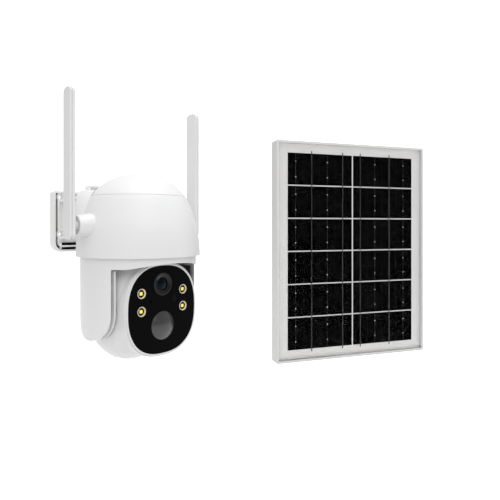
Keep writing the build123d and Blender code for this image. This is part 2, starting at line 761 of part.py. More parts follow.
def make_antenna_socket(side):
    """Round boss on the housing that takes the antenna's pin."""
    boss = boss_body(side, 0.0)
    rim = boss.faces().sort_by(Axis.X)[0 if side < 0 else -1]
    boss = turn_out(side, fillet(rim.edges(), 0.8)) - INNER - REAR_INNER
    core = rod_x(ANT_BOSS_R - 2.3, *span_x(side * 55.0, side * (ANT_BOSS_END - 1)), ANT_Y, ANT_Z)
    boss = boss + turn_out(side, core)
    outside = side * (ANT_BOSS_END + 1)
    shelf = side * (ANT_LIP_X + 0.3)
    recess = span_x(outside, side * (ANT_BOSS_END - ANT_BOSS_FACE_DEPTH))
    bore = rod_x(ANT_BOSS_R - 1.7, *recess, ANT_Y, ANT_Z)
    bore = bore + rod_x(ANT_PIN_R + PIN_PLAY, *span_x(shelf, outside), ANT_Y, ANT_Z)
    bore = bore + rod_x(ANT_PIN_R + 1.6, *span_x(shelf, side * 45.0), ANT_Y, ANT_Z)
    return boss - turn_out(side, bore)


# ---------------------------------------------------------------- yoke

def make_yoke():
    low = TILT_Z - YOKE_ARM_HALF - 2
    tube = rod_z(YOKE_R, low, YOKE_TOP_Z) - rod_z(YOKE_R - YOKE_T, low - 1, YOKE_TOP_Z + 1)
    # tunnel from front to back with rounded upper corners leaves the two arms
    half = math.sqrt(YOKE_R ** 2 - YOKE_ARM_HALF ** 2)
    tunnel = block(-half, half, -70, 70, -160, OPENING_Z)
    tunnel = fillet(tunnel.edges().filter_by(Axis.Y).sort_by(Axis.Z)[-2:], 1.5)
    arms = tube - tunnel
    keep = block(-70, 70, -YOKE_ARM_HALF, YOKE_ARM_HALF, TILT_Z, YOKE_TOP_Z + 1)
    keep = keep + rod_x(YOKE_ARM_HALF, -70, 70, 0, TILT_Z)
    keep = keep + block(-70, 70, -70, 70, OPENING_Z, YOKE_TOP_Z + 1)
    arms = arms & keep
    # front and back lips rise in the middle
    lift = rod_y(190, -70, 70, 0, OPENING_Z + 4.6 - 190)
    arms = arms - (lift & block(-half, half, -70, 70, -160, YOKE_TOP_Z - 3))
    ceiling = rod_z(YOKE_R - 0.5, YOKE_TOP_Z - CEILING_T, YOKE_TOP_Z)
    hub = rod_z(HUB_R, YOKE_TOP_Z - 0.5, HUB_TOP_Z)
    yoke = arms + ceiling + hub
    bore = rod_z(HUB_R - 2.4, YOKE_TOP_Z + 2.5, HUB_TOP_Z + 1)
    yoke = yoke - bore - rod_z(2.5, YOKE_TOP_Z - 4, HUB_TOP_Z)
    # pads that hold the cheek plates
    for side in (-1, 1):
        for y in (-17.0, 17.0):
            x0, x1 = span_x(side * (CHEEK_X + CHEEK_T), side * 54.0)
            yoke = yoke + (rod_x(2.6, x0, x1, y, CHEEK_SCREW_Z) & rod_z(YOKE_R - 1, -120, -30))
            h0, h1 = span_x(side * (CHEEK_X + CHEEK_T - 1), side * (CHEEK_X + 6.5))
            yoke = yoke - rod_x(0.9, h0, h1, y, CHEEK_SCREW_Z)
    return camera_axis(yoke)


def make_cheeks():
    """Flat inner covers of the two yoke arms, with the tilt bearings' holes."""
    plates = []
    for side in (-1, 1):
        x0 = side * CHEEK_X
        x1 = side * (CHEEK_X + CHEEK_T)
        a, b = min(x0, x1), max(x0, x1)
        plate = block(a, b, -YOKE_ARM_HALF + 0.6, YOKE_ARM_HALF - 0.6, TILT_Z, -45)
        plate = plate + rod_x(YOKE_ARM_HALF - 0.6, a, b, 0, TILT_Z)
        plate = plate & rod_z(YOKE_R - YOKE_T - 0.1, -130, -30)
        plate = plate - rod_x(BUSH_R + FIT, a - 1, b + 1, 0, TILT_Z)
        for y in (-17.0, 17.0):
            plate = plate - rod_x(1.2, a - 1, b + 1, y, CHEEK_SCREW_Z)
        plates.append(camera_axis(plate))
    return plates


def make_tilt_bush():
    """Plain bearing of the free side, in the right arm."""
    bush = rod_x(BUSH_R, CHEEK_X - 0.4, CHEEK_X + 5.0, 0, TILT_Z)
    return camera_axis(bush - rod_x(TRUNNION_R + 0.05, CHEEK_X - 1, CHEEK_X + 6, 0, TILT_Z))


def make_drive_hub():
    """Keyed hub of the driven side, in the left arm, with the motor's output shaft."""
    hub = rod_x(BUSH_R, -CHEEK_X - 5.0, -CHEEK_X + 0.4, 0, TILT_Z)
    return camera_axis(hub - rod_x(SHAFT_R, -CHEEK_X - 6, -CHEEK_X + 1, 0, TILT_Z))


def make_drive_shaft():
    return camera_axis(rod_x(SHAFT_R, -CHEEK_X - 5.0, -30.0, 0, TILT_Z))


def make_cheek_screws():
    screws = []
    for side in (-1, 1):
        for y in (-17.0, 17.0):
            x0 = side * (CHEEK_X - 0.9)
            x1 = side * CHEEK_X
            x2 = side * (CHEEK_X + 6.0)
            head = rod_x(2.2, min(x0, x1), max(x0, x1), y, CHEEK_SCREW_Z)
            shank = rod_x(0.9, min(x1, x2), max(x1, x2), y, CHEEK_SCREW_Z)
            c0 = side * (CHEEK_X - 1.0)
            c1 = side * (CHEEK_X - 0.5)
            a, b = min(c0, c1), max(c0, c1)
            cross = block(a, b, y - 0.25, y + 0.25, CHEEK_SCREW_Z - 1.4, CHEEK_SCREW_Z + 1.4)
            screws.append(camera_axis(head + shank - cross))
    return screws


def make_hub_collar():
    ring = rod_z(HUB_R + 3, -26.2, -24.0) - rod_z(HUB_R, -30, -20)
    return camera_axis(ring)


def make_pan_shaft():
    return camera_axis(rod_z(2.5, YOKE_TOP_Z - 2.4, MOTOR_LOW + 5))


# ---------------------------------------------------------------- head

def face_outline(grow, y0, y1):
    """Rounded upright oval of the face: wide arcs above and below, flatter sides."""
    w = FACE_HALF_W + grow
    h = FACE_HALF_H + grow
    points = []
    steps = 40
    power = 2.45
    for i in range(steps):
        t = 2 * math.pi * i / steps
        c, s = math.cos(t), math.sin(t)
        x = w * math.copysign(abs(c) ** (2 / power), c)
        z = h * math.copysign(abs(s) ** (2 / power), s)
        points.append((x, z))
    curve = Spline(*points, periodic=True)
    face = make_face(curve)
    prism = extrude(face, y1 - y0)
    turned = Location((0, 0, 0), (90, 0, 0)) * prism
    return at(0, y1, TILT_Z) * turned


def head_drum(shrink):
    drum = rod_x(HEAD_R - shrink, -HEAD_HALF_W + shrink, HEAD_HALF_W - shrink, 0, TILT_Z)
    drum = fillet(drum.edges(), HEAD_ROUND - shrink)
    return drum & block(-80, 80, FACE_Y + 4.0 + shrink, 80, -160, 0)


def head_body():
    """Closed shape of the head: drum about the tilt axis that runs out into the oval face."""
    nose = face_outline(SHELL_GROW, FACE_Y + 0.8, -14.0)
    nose = fillet(nose.edges().sort_by(Axis.Y)[:1], 0.6)
    return head_drum(0.0) + nose


def head_hollow():
    return head_drum(HEAD_WALL) + face_outline(0.4, LEDGE_Y + 2.4, -14.0)


def head_screw_posts(side_y):
    posts = []
    for x, z in HEAD_SCREWS:
        if side_y == "rear":
            posts.append(rod_y(3.4, HEAD_SPLIT_Y + 0.1, 45, x, z))
        else:
            posts.append(rod_y(3.4, LEDGE_Y + 1.0, HEAD_SPLIT_Y - 0.1, x, z))
    return posts


def head_screw_bores(radius, y0, y1):
    return [rod_y(radius, y0, y1, x, z) for x, z in HEAD_SCREWS]


def make_head_rear():
    shape = HEAD_BODY & block(-80, 80, HEAD_SPLIT_Y + 0.1, 80, -160, 0)
    shape = shape - HEAD_HOLLOW
    posts = [post & HEAD_BODY for post in head_screw_posts("rear")]
    shape = shape + posts
    shape = shape - head_screw_bores(1.4, -20, 60) - head_screw_bores(2.8, SCREW_SEAT_Y, 60)
    shape = shape - rod_x(4.0, -60, -30, 0, TILT_Z) - rod_x(TRUNNION_R + FIT, 30, 60, 0, TILT_Z)
    shape = shape - block(CARD_X0, CARD_X1, CARD_Y0, CARD_Y1, -140, -110)
    pin_ends = (CARD_X0 - CARD_PIN_LENGTH - 0.2, CARD_X1 + CARD_PIN_LENGTH + 0.2)
    shape = shape - rod_x(CARD_PIN_R + CARD_PIN_PLAY, *pin_ends, CARD_PIVOT_Y, CARD_PIVOT_Z)
    return camera_axis(shape)


def make_head_front():
    shape = HEAD_BODY & block(-80, 80, -80, HEAD_SPLIT_Y - 0.1, -160, 0)
    shape = shape - HEAD_HOLLOW
    posts = [post & HEAD_BODY for post in head_screw_posts("front")]
    shape = shape + posts
    shape = shape - face_outline(BEZEL_W + 0.15, -60, LEDGE_Y)
    shape = shape - face_outline(-4.0, -60, LEDGE_Y + 3)
    shape = shape - head_screw_bores(1.1, -26, 0)
    return camera_axis(shape)


def make_bezel():
    ring = face_outline(BEZEL_W, FACE_Y - 0.3, LEDGE_Y) - face_outline(0.1, FACE_Y - 1, LEDGE_Y + 1)
    rim = ring.edges().sort_by(Axis.Y)[:2]
    ring = fillet(rim, 0.35)
    return camera_axis(ring)


def make_face_plate():
    plate = face_outline(0.0, FACE_Y, FACE_Y + FACE_T)
    plate = plate - rod_y(LENS_R + FIT, -60, 0, 0, LENS_Z)
    plate = plate - rod_y(PIR_R, -60, 0, 0, PIR_Z)
    for x, z in LED_POINTS:
        plate = plate - rod_y(LED_R, -60, 0, x, z)
    plate = plate - rod_y(LIGHT_HOLE_R, -60, 0, SIDE_HOLE_X, SIDE_HOLE_Z)
    plate = plate - rod_y(MIC_HOLE_R, -60, 0, -SIDE_HOLE_X, SIDE_HOLE_Z)
    groove = rod_y(LENS_R + 2.5, FACE_Y - 1, FACE_Y + 0.25, 0, LENS_Z)
    groove = groove - rod_y(LENS_R + 2.1, FACE_Y - 2, FACE_Y + 1, 0, LENS_Z)
    plate = plate - groove
    low_edge = TILT_Z - FACE_HALF_H
    plate = plate - block(-0.8, 0.8, FACE_Y - 1, FACE_Y + 3, low_edge - 1, low_edge + 0.9)
    return camera_axis(plate)


def make_face_gasket():
    ring = face_outline(0.0, FACE_Y + FACE_T, LEDGE_Y) - face_outline(-4.0, FACE_Y, LEDGE_Y + 1)
    return camera_axis(ring)


def make_lens_ring():
    """Dark shallow cone between the face and the lens."""
    ring = rod_y(LENS_R, FACE_Y - 0.2, FACE_Y + 4.0, 0, LENS_Z)
    ring = fillet(ring.edges().sort_by(Axis.Y)[:1], 0.5)
    cone = Cone(LENS_R - 1.3, LENS_GLASS_R, LENS_CONE_DEPTH, align=(Align.CENTER, Align.CENTER, Align.MIN))
    cone = Location((0, FACE_Y - 0.21, LENS_Z), (-90, 0, 0)) * cone
    ring = ring - cone - rod_y(LENS_GLASS_R, FACE_Y, FACE_Y + 5, 0, LENS_Z)
    return camera_axis(ring)


def make_lens_barrel():
    tube = rod_y(9.0, FACE_Y + 4.0, -12.0, 0, LENS_Z) - rod_y(LENS_GLASS_R, FACE_Y + 3, -11.0, 0, LENS_Z)
    steps = rod_y(LENS_GLASS_R, FACE_Y + 8.5, FACE_Y + 9.5, 0, LENS_Z)
    steps = steps - rod_y(4.6, FACE_Y + 8, FACE_Y + 10, 0, LENS_Z)
    last = rod_y(LENS_GLASS_R, FACE_Y + 12, FACE_Y + 13, 0, LENS_Z)
    steps = steps + (last - rod_y(3.2, FACE_Y + 11, FACE_Y + 14, 0, LENS_Z))
    return camera_axis(tube + steps)


def make_lens_glass():
    """Front element, bulging towards the scene."""
    bulge = 12.0
    ball = at(0, FACE_Y + 0.1 + bulge, LENS_Z) * Sphere(bulge)
    glass = ball & rod_y(LENS_GLASS_R - 0.05, FACE_Y - 1, FACE_Y + 4.4, 0, LENS_Z)
    return camera_axis(glass)


def make_led_cups():
    """Bright rings round the spotlights, bevelled towards their dark wells."""
    cups = []
    for x, z in LED_POINTS:
        cup = rod_y(LED_R - 0.1, FACE_Y - 0.25, BOARD_Y, x, z)
        cup = fillet(cup.edges().sort_by(Axis.Y)[:1], 0.3)
        cone = Cone(LED_WELL_R + 0.5, LED_WELL_R, 1.0, align=(Align.CENTER, Align.CENTER, Align.MIN))
        cup = cup - Location((x, FACE_Y - 0.26, z), (-90, 0, 0)) * cone
        cup = cup - rod_y(LED_WELL_R, FACE_Y - 1, BOARD_Y + 1, x, z)
        cups.append(camera_axis(cup))
    return cups


def make_led_wells():
    """Black discs that each light chip stands in."""
    wells = []
    for x, z in LED_POINTS:
        well = rod_y(LED_WELL_R - 0.05, FACE_Y + 1.3, BOARD_Y, x, z)
        half = DIE_SIZE / 2 + 0.02
        well = well - block(x - half, x + half, FACE_Y, BOARD_Y + 1, z - half, z + half)
        wells.append(camera_axis(well))
    return wells


def make_led_dies():
    dies = []
    half = DIE_SIZE / 2
    for x, z in LED_POINTS:
        die = block(x - half, x + half, FACE_Y + 0.8, BOARD_Y, z - half, z + half)
        die = fillet(die.edges().filter_by(Axis.Y), 0.3)
        dies.append(camera_axis(die))
    return dies


def make_led_board():
    board = face_outline(-4.4, BOARD_Y, BOARD_Y + 1.6)
    board = board - rod_y(9.3, -60, 0, 0, LENS_Z)
    board = board - head_screw_bores(3.8, -60, 0)
    return camera_axis(board)


def make_pir_dome():
    """Fresnel dome of the motion sensor, thin and hollow, with a flange behind the face."""
    ball_r = 24.0
    rise = ball_r - math.sqrt(ball_r ** 2 - PIR_R ** 2)
    centre = FACE_Y + FACE_T - 1.2 - rise + ball_r
    outer = (at(0, centre, PIR_Z) * Sphere(ball_r)) & rod_y(PIR_R - 0.15, -60, FACE_Y + FACE_T, 0, PIR_Z)
    inner = (at(0, centre, PIR_Z) * Sphere(ball_r - 1.2)) & rod_y(PIR_R - 1.5, -60, FACE_Y + 5, 0, PIR_Z)
    flange = rod_y(PIR_R + 1.4, FACE_Y + FACE_T, FACE_Y + FACE_T + 1.0, 0, PIR_Z)
    flange = flange - rod_y(PIR_R - 1.5, -60, 0, 0, PIR_Z)
    return camera_axis((outer - inner) + flange)


def make_pir_sensor():
    can = rod_y(4.6, BOARD_Y - 4.0, BOARD_Y, 0, PIR_Z)
    can = fillet(can.edges().sort_by(Axis.Y)[:1], 0.5)
    window = block(-2, 2, BOARD_Y - 4.5, BOARD_Y - 3.8, PIR_Z - 1.5, PIR_Z + 1.5)
    return camera_axis(can - window)


def make_light_sensor():
    body = rod_y(LIGHT_HOLE_R - 0.05, FACE_Y + 0.5, BOARD_Y, SIDE_HOLE_X, SIDE_HOLE_Z)
    return camera_axis(body)


def make_microphone():
    seal = rod_y(3.0, FACE_Y + FACE_T, BOARD_Y, -SIDE_HOLE_X, SIDE_HOLE_Z)
    seal = seal - rod_y(MIC_HOLE_R, -60, BOARD_Y - 1.0, -SIDE_HOLE_X, SIDE_HOLE_Z)
    return camera_axis(seal)


def make_image_board():
    board = block(-17, 17, -12.0, -10.4, LENS_Z - 17, LENS_Z + 15)
    chip = block(-4, 4, -13.2, -11.9, LENS_Z - 4, LENS_Z + 4)
    return camera_axis(board + chip)


def make_tilt_motor():
    body = rod_x(14.0, -39.7, -22.0, 0, TILT_Z)
    body = fillet(body.edges().sort_by(Axis.X)[-1:], 1.0)
    return camera_axis(body - rod_x(SHAFT_R + 0.06, -45, -29.5, 0, TILT_Z))


def make_trunnion():
    pin = rod_x(TRUNNION_R, HEAD_HALF_W - HEAD_WALL - 2.0, CHEEK_X + 4.5, 0, TILT_Z)
    flange = rod_x(9.0, HEAD_HALF_W - HEAD_WALL - 2.0, HEAD_HALF_W - HEAD_WALL, 0, TILT_Z)
    return camera_axis(pin + flange)


def make_head_screws():
    screws = []
    for x, z in HEAD_SCREWS:
        head = rod_y(2.6, SCREW_SEAT_Y, SCREW_SEAT_Y + 1.8, x, z)
        shank = rod_y(1.1, -25, SCREW_SEAT_Y, x, z)
        cross = block(x - 1.5, x + 1.5, SCREW_SEAT_Y + 0.8, SCREW_SEAT_Y + 2, z - 0.3, z + 0.3)
        cross = cross + block(x - 0.3, x + 0.3, SCREW_SEAT_Y + 0.8, SCREW_SEAT_Y + 2, z - 1.5, z + 1.5)
        screws.append(camera_axis(head + shank - cross))
    return screws


def make_card_cover():
    """Rubber flap flush with the underside of the head."""
    g = CARD_COVER_GAP
    slab = head_drum(0.0) - head_drum(CARD_COVER_T)
    flap = slab & block(CARD_X0 + g, CARD_X1 - g, CARD_Y0 + g, CARD_PIVOT_Y, -140, -110)
    barrel = rod_x(CARD_HINGE_R, CARD_X0 + g, CARD_X1 - g, CARD_PIVOT_Y, CARD_PIVOT_Z)
    pin_ends = (CARD_X0 - CARD_PIN_LENGTH, CARD_X1 + CARD_PIN_LENGTH)
    pin = rod_x(CARD_PIN_R, *pin_ends, CARD_PIVOT_Y, CARD_PIVOT_Z)
    return camera_axis(flap + barrel + pin)


def make_card_reader():
    low = READER_LOW_Z
    body = block(READER_X0, READER_X1, CARD_Y0 + 2, CARD_Y0 + 5, low, low + 12.5)
    body = body - block(READER_X0 + 0.6, READER_X1 - 0.6, CARD_Y0 + 3.1, CARD_Y0 + 4.1, low - 1, low + 11)
    guide = block(RESET_X - 2.6, RESET_X + 2.6, RESET_Y - 2.6, RESET_Y + 2.6, low, low + 5)
    guide = guide - rod_z(RESET_R + 0.06, low - 1, low + 4, RESET_X, RESET_Y)
    board = block(READER_X0, RESET_X + 2.6, RESET_Y + 2.6, RESET_Y + 4.0, low, low + 12.5)
    bridge = block(READER_X0, READER_X1, CARD_Y0 + 4.9, RESET_Y + 2.7, low + 2, low + 11)
    return camera_axis(body + guide + board + bridge)


def make_reset_button():
    low = READER_LOW_Z
    top = low + 4 - RESET_TRAVEL - 0.3
    button = rod_z(RESET_R, low - 0.4, top, RESET_X, RESET_Y)
    return camera_axis(button)

HEAD_BODY = head_body()
HEAD_HOLLOW = head_hollow()


# ---------------------------------------------------------------- solar panel


def panel_place(shape):
    """Moves a shape from the panel's own frame, with the tilt axis along X, to the wall."""
    return Location((PIVOT_X, PIVOT_Y, PANEL_Z), (0, 0, PANEL_YAW)) * shape


def sheet(width, height, y0, y1):
    return block(-width / 2, width / 2, y0, y1, -height / 2, height / 2)


def make_panel_frame():
    frame = sheet(PANEL_W, PANEL_H, FRONT_Y, BACK_Y)
    frame = fillet(frame.edges().filter_by(Axis.Y), PANEL_CORNER_R)
    front = frame.faces().sort_by(Axis.Y)[0]
    frame = fillet(front.edges(), PANEL_EDGE_R)
    frame = frame - sheet(PANEL_W - 2 * PANEL_LIP, PANEL_H - 2 * PANEL_LIP, FRONT_Y - 1, BACK_Y + 1)
    ledge_y = FRONT_Y + LEDGE_DEPTH
    ledge = sheet(PANEL_W - 2, PANEL_H - 2, ledge_y, ledge_y + 1.6)
    ledge = ledge - sheet(PANEL_W - 24, PANEL_H - 24, ledge_y - 1, ledge_y + 3)
    frame = frame + ledge
    for x, z in PANEL_CORNERS:
        frame = frame + rod_y(4.0, ledge_y, BACK_Y - 2.5, x, z)
        frame = frame - rod_y(1.2, ledge_y + 2, BACK_Y + 1, x, z)
    return panel_place(frame)


def make_panel_glass():
    return panel_place(sheet(LAMINATE_W, LAMINATE_H, GLASS_Y, GLASS_Y + GLASS_T))


def cell_columns():
    return [side * (CELL_W + CELL_GAP_X) / 2 for side in (-1, 1)]


def cell_rows():
    return [(row - 2.5) * CELL_PITCH_Z for row in range(6)]


def make_cells():
    cells = []
    for x in cell_columns():
        for z in cell_rows():
            cell = sheet(CELL_W, CELL_H, CELL_Y, CELL_Y + CELL_T)
            cells.append(panel_place(at(x, 0, z) * cell))
    return cells


def ribbon_xs():
    xs = []
    for column, x in enumerate(cell_columns()):
        for line in range(LINES_PER_CELL):
            if (line + column) % 2 == 1:
                xs.append(x - CELL_W / 2 + CELL_W * (FIRST_LINE + LINE_STEP * line))
    return xs


def make_ribbons():
    half = 3 * CELL_PITCH_Z + 2.5
    y0 = GLASS_Y + GLASS_T
    return [panel_place(block(x - 0.7, x + 0.7, y0, y0 + RIBBON_T, -half, half)) for x in ribbon_xs()]


def make_backsheet():
    return panel_place(sheet(LAMINATE_W, LAMINATE_H, CELL_Y + CELL_T, FRONT_Y + LEDGE_DEPTH))


def make_back_plate():
    plate = sheet(LAMINATE_W, LAMINATE_H, BACK_Y - 2.5, SADDLE_Y)
    for x, z in PANEL_CORNERS:
        plate = plate - rod_y(1.6, BACK_Y - 5, BACK_Y, x, z)
    for x, z in SADDLE_POINTS:
        plate = plate - rod_y(1.8, BACK_Y - 5, BACK_Y, x, z)
    plate = plate - rod_y(3.0, BACK_Y - 5, BACK_Y, 0, JUNCTION_Z)
    return panel_place(plate)


def y_screw(x, z, seat, tip, head_r, shank_r, head_t):
    """Screw driven towards -Y: head behind the seat, shank to the tip."""
    head = rod_y(head_r, seat, seat + head_t, x, z)
    head = fillet(head.edges().sort_by(Axis.Y)[-1:], 0.4)
    shank = rod_y(shank_r, tip, seat, x, z)
    size = head_r * 0.6
    top = seat + head_t
    cross = block(x - size, x + size, top - head_t / 2, top + 1, z - 0.3, z + 0.3)
    cross = cross + block(x - 0.3, x + 0.3, top - head_t / 2, top + 1, z - size, z + size)
    return panel_place((head + shank) - cross)


def make_panel_screws():
    return [y_screw(x, z, SADDLE_Y, BACK_Y - 8, 2.6, 1.2, 1.5) for x, z in PANEL_CORNERS]


def make_saddle():
    plate = sheet(66, 66, SADDLE_Y, SADDLE_Y + 3.0)
    plate = fillet(plate.edges().filter_by(Axis.Y), 6)
    web = block(-8.8, 8.8, SADDLE_Y + 1, 0, -7.5, 7.5)
    gusset = block(-8.8, 8.8, SADDLE_Y + 1, SADDLE_Y + 9, -16, 16)
    gusset = chamfer(gusset.edges().filter_by(Axis.X).sort_by(Axis.Y)[-2:], 7.5)
    body = plate + web + gusset + rod_x(KNUCKLE_R, -8.8, 8.8, 0, 0)
    body = body - rod_x(M6_R + 0.08, -20, 20, 0, 0)
    for x, z in SADDLE_POINTS:
        body = body - rod_y(2.0, SADDLE_Y - 1, SADDLE_Y + 5, x, z)
    return panel_place(body)


def make_saddle_screws():
    return [y_screw(x, z, SADDLE_Y + 3.0, BACK_Y - 7, 3.6, 1.8, 2.0) for x, z in SADDLE_POINTS]


def make_junction_box():
    z = JUNCTION_Z
    w, h = JUNCTION_W / 2, JUNCTION_H / 2
    box = block(-w, w, SADDLE_Y, SADDLE_Y + 12, z - h, z + h)
    box = fillet(box.edges().filter_by(Axis.Y), 4)
    box = box - block(-w + 2, w - 2, SADDLE_Y + 2, SADDLE_Y + 13, z - h + 2, z + h - 2)
    box = box - rod_y(3.0, SADDLE_Y - 1, SADDLE_Y + 3, 0, z)
    box = box - rod_z(GLAND_R, z - h - 1, z - h + 3, 0, SADDLE_Y + GLAND_DEPTH)
    return panel_place(box)


def make_junction_lid():
    z = JUNCTION_Z
    w, h = JUNCTION_W / 2, JUNCTION_H / 2
    lid = block(-w, w, SADDLE_Y + 12, SADDLE_Y + 13.8, z - h, z + h)
    lid = fillet(lid.edges().filter_by(Axis.Y), 4)
    lip = block(-w + 2.2, w - 2.2, SADDLE_Y + 10.5, SADDLE_Y + 12, z - h + 2.2, z + h - 2.2)
    lip = lip - block(-w + 3.6, w - 3.6, SADDLE_Y + 10, SADDLE_Y + 12, z - h + 3.6, z + h - 3.6)
    return panel_place(lid + lip)


def make_junction_board():
    z = JUNCTION_Z
    board = block(-20, 20, SADDLE_Y + 3.2, SADDLE_Y + 4.8, z - 12, z + 12)
    feet = [rod_y(2.0, SADDLE_Y + 2, SADDLE_Y + 3.2, x, z) for x in (-16, 16)]
    blocks = [block(x - 4, x + 4, SADDLE_Y + 4.8, SADDLE_Y + 9.5, z + 1, z + 9) for x in (-10, 0, 10)]
    return panel_place(board + feet + blocks)


def make_cable_gland():
    z = JUNCTION_Z - JUNCTION_H / 2
    y = SADDLE_Y + GLAND_DEPTH
    body = rod_z(GLAND_R, z, z + 4, 0, y)
    nut = at(0, y, z - 4.0) * extrude(RegularPolygon(5.4, 6), 4.0)
    cap = rod_z(4.8, z - 10, z - 4, 0, y)
    cap = fillet(cap.edges().sort_by(Axis.Z)[:1], 1.5)
    gland = (body + nut + cap) - rod_z(2.4, z - 12, z + 6, 0, y)
    return panel_place(gland)


def make_panel_arm():
    lugs = []
    for side in (-1, 1):
        a, b = span_x(side * LUG_IN, side * LUG_OUT)
        lugs.append(rod_x(KNUCKLE_R + 0.5, a, b, 0, 0) + block(a, b, 0, 20, -8.5, 8.5))
    web = block(-LUG_OUT, LUG_OUT, 13, 21, -8.5, 8.5)
    web = fillet(web.edges().filter_by(Axis.Z).sort_by(Axis.Y)[-2:], 3)
    bar = block(-7.5, 7.5, 18, ARM_REACH - 2, -8.5, 8.5)
    bar = fillet(bar.edges().filter_by(Axis.Y), 3.5)
    barrel = rod_z(KNUCKLE_R, -12, 12, 0, ARM_REACH)
    arm = web + bar + barrel + lugs
    # a long shallow pocket lightens both sides of the bar
    for side in (-1, 1):
        a, b = span_x(side * 4.5, side * 9)
        pocket = block(a, b, 30, ARM_REACH - 16, -4, 4)
        pocket = fillet(pocket.edges().filter_by(Axis.X), 3.5)
        arm = arm - pocket
    arm = arm - rod_x(M6_R, -20, 20, 0, 0)
    arm = arm - rod_z(M6_R + 0.08, -20, 20, 0, ARM_REACH)
    return panel_place(arm)


def make_tilt_bolt():
    shank = rod_x(M6_R, -LUG_OUT, 22, 0, 0)
    head = Location((-LUG_OUT - 4, 0, 0), (0, 90, 0)) * extrude(RegularPolygon(5.8, 6), 4)
    return panel_place(shank + head)


def make_clamp_knob():
    knob = rod_x(12.0, KNOB_NEAR + 3, KNOB_FAR, 0, 0)
    knob = fillet(knob.edges(), 1.6)
    for i in range(6):
        turn = 2 * math.pi * (i + 0.5) / 6
        knob = knob - rod_x(3.6, KNOB_NEAR + 2, KNOB_FAR + 1, 13.6 * math.cos(turn), 13.6 * math.sin(turn))
    knob = knob + rod_x(6.5, KNOB_NEAR, KNOB_NEAR + 3.5, 0, 0)
    knob = knob - rod_x(M6_R + 0.06, 0, 22.4, 0, 0)
    return panel_place(knob)


def base_place(shape):
    return at(SWIVEL_X, 0, PANEL_Z) * shape


def make_panel_base():
    plate = block(-BASE_W / 2, BASE_W / 2, -5.0, 0, -BASE_H / 2, BASE_H / 2)
    plate = fillet(plate.edges().filter_by(Axis.Y), 9)
    plate = fillet(plate.faces().sort_by(Axis.Y)[0].edges(), 1.0)
    base = plate
    for side in (-1, 1):
        z0, z1 = span_x(side * LUG_GAP, side * (LUG_GAP + LUG_T))
        lug = block(-11, 11, SWIVEL_Y, -4, z0, z1) + rod_z(11, z0, z1, 0, SWIVEL_Y)
        g0, g1 = span_x(side * (LUG_GAP + LUG_T - 1), side * (LUG_GAP + LUG_T + 9))
        gusset = block(-2, 2, -13, -4, g0, g1)
        pick = gusset.edges().filter_by(Axis.X).group_by(Axis.Y)[0].sort_by(Axis.Z)
        gusset = chamfer(pick[-1:] if side > 0 else pick[:1], 7.0)
        base = base + lug + gusset
        base = base - rod_z(M6_R, z0 - 1, z1 + 1, 0, SWIVEL_Y)
    for x in (-BASE_HOLE_X, BASE_HOLE_X):
        for z in (-BASE_HOLE_Z, BASE_HOLE_Z):
            base = base - rod_y(WALL_HOLE_R, -10, 1, x, z)
            base = base - rod_y(4.2, -10, -3.2, x, z)
    return base_place(base)


def make_swivel_bolt():
    top = LUG_GAP + LUG_T
    bolt = rod_z(M6_R, -top - 8, top, 0, SWIVEL_Y)
    head = at(0, SWIVEL_Y, top) * extrude(RegularPolygon(5.8, 6), 4)
    return base_place(bolt + head)


def make_swivel_nut():
    top = LUG_GAP + LUG_T
    washer = rod_z(6.2, -top - 1.2, -top, 0, SWIVEL_Y)
    nut = at(0, SWIVEL_Y, -top - 6.2) * extrude(RegularPolygon(5.8, 6), 5)
    return base_place((washer + nut) - rod_z(M6_R, -60, 0, 0, SWIVEL_Y))


# ---------------------------------------------------------------- write every piece

# camera housing and its wall mount
save("wall_plate", make_wall_plate())
save("wall_seal", make_wall_seal())
save("bracket_arm", make_bracket_arm())
save("rear_housing", make_rear_housing() + make_inlet_hinge())
save("front_shroud", make_front_shroud())
save("top_cap", make_top_cap())
save("housing_floor", make_floor())
save("rim_seal", make_rim_seal())
save("antenna_sockets", [make_antenna_socket(-1), make_antenna_socket(1)])
fixed_screws = make_arm_screws() + make_floor_screws() + make_board_screws() + make_motor_screws()
save("fixed_fasteners", fixed_screws + [make_swivel_bolt(), make_swivel_nut()])

# inside the housing
save("main_board", make_board())
save("board_parts", make_board_parts() + make_radio() + [make_processor()])
save("battery_cells", make_battery_cells())
save("battery_holder", make_battery_holder())
save("speaker", [make_speaker(), make_speaker_cone()])
save("pan_motor", make_pan_motor())
save("pan_bearing", make_pan_bearing())
save("charge_inlet", [make_inlet(), make_inlet_board()])
save("inlet_cover", make_inlet_cover())

# antennas
for name, side in (("left", -1), ("right", 1)):
    save("antenna_outer_" + name, make_antenna_outer(side))
    save("antenna_inner_" + name, [make_antenna_inner(side), make_radiator(side)])

# pan yoke
save("yoke", make_yoke())
cheek_left, cheek_right = make_cheeks()
save("cheek_left", cheek_left)
save("cheek_right", cheek_right)
save("cheek_screws", make_cheek_screws())
save("tilt_bearings", [make_tilt_bush(), make_drive_hub()])
save("drive_shafts", [make_drive_shaft(), make_pan_shaft(), make_hub_collar()])

# tilting head
save("head_rear", make_head_rear())
save("head_front", make_head_front())
save("bezel_ring", make_bezel())
save("face_plate", make_face_plate())
save("face_seals", [make_face_gasket(), make_light_sensor(), make_microphone()] + make_led_wells())
save("lens_barrel", [make_lens_ring(), make_lens_barrel()])
save("lens_glass", make_lens_glass())
save("led_cups", make_led_cups())
save("led_dies", make_led_dies())
save("sensor_boards", [make_led_board(), make_image_board(), make_pir_sensor()])
save("pir_dome", make_pir_dome())
save("tilt_motor", make_tilt_motor())
save("trunnion", make_trunnion())
save("head_screws", make_head_screws())
save("card_reader", make_card_reader())
save("card_cover", make_card_cover())
save("reset_button", make_reset_button())

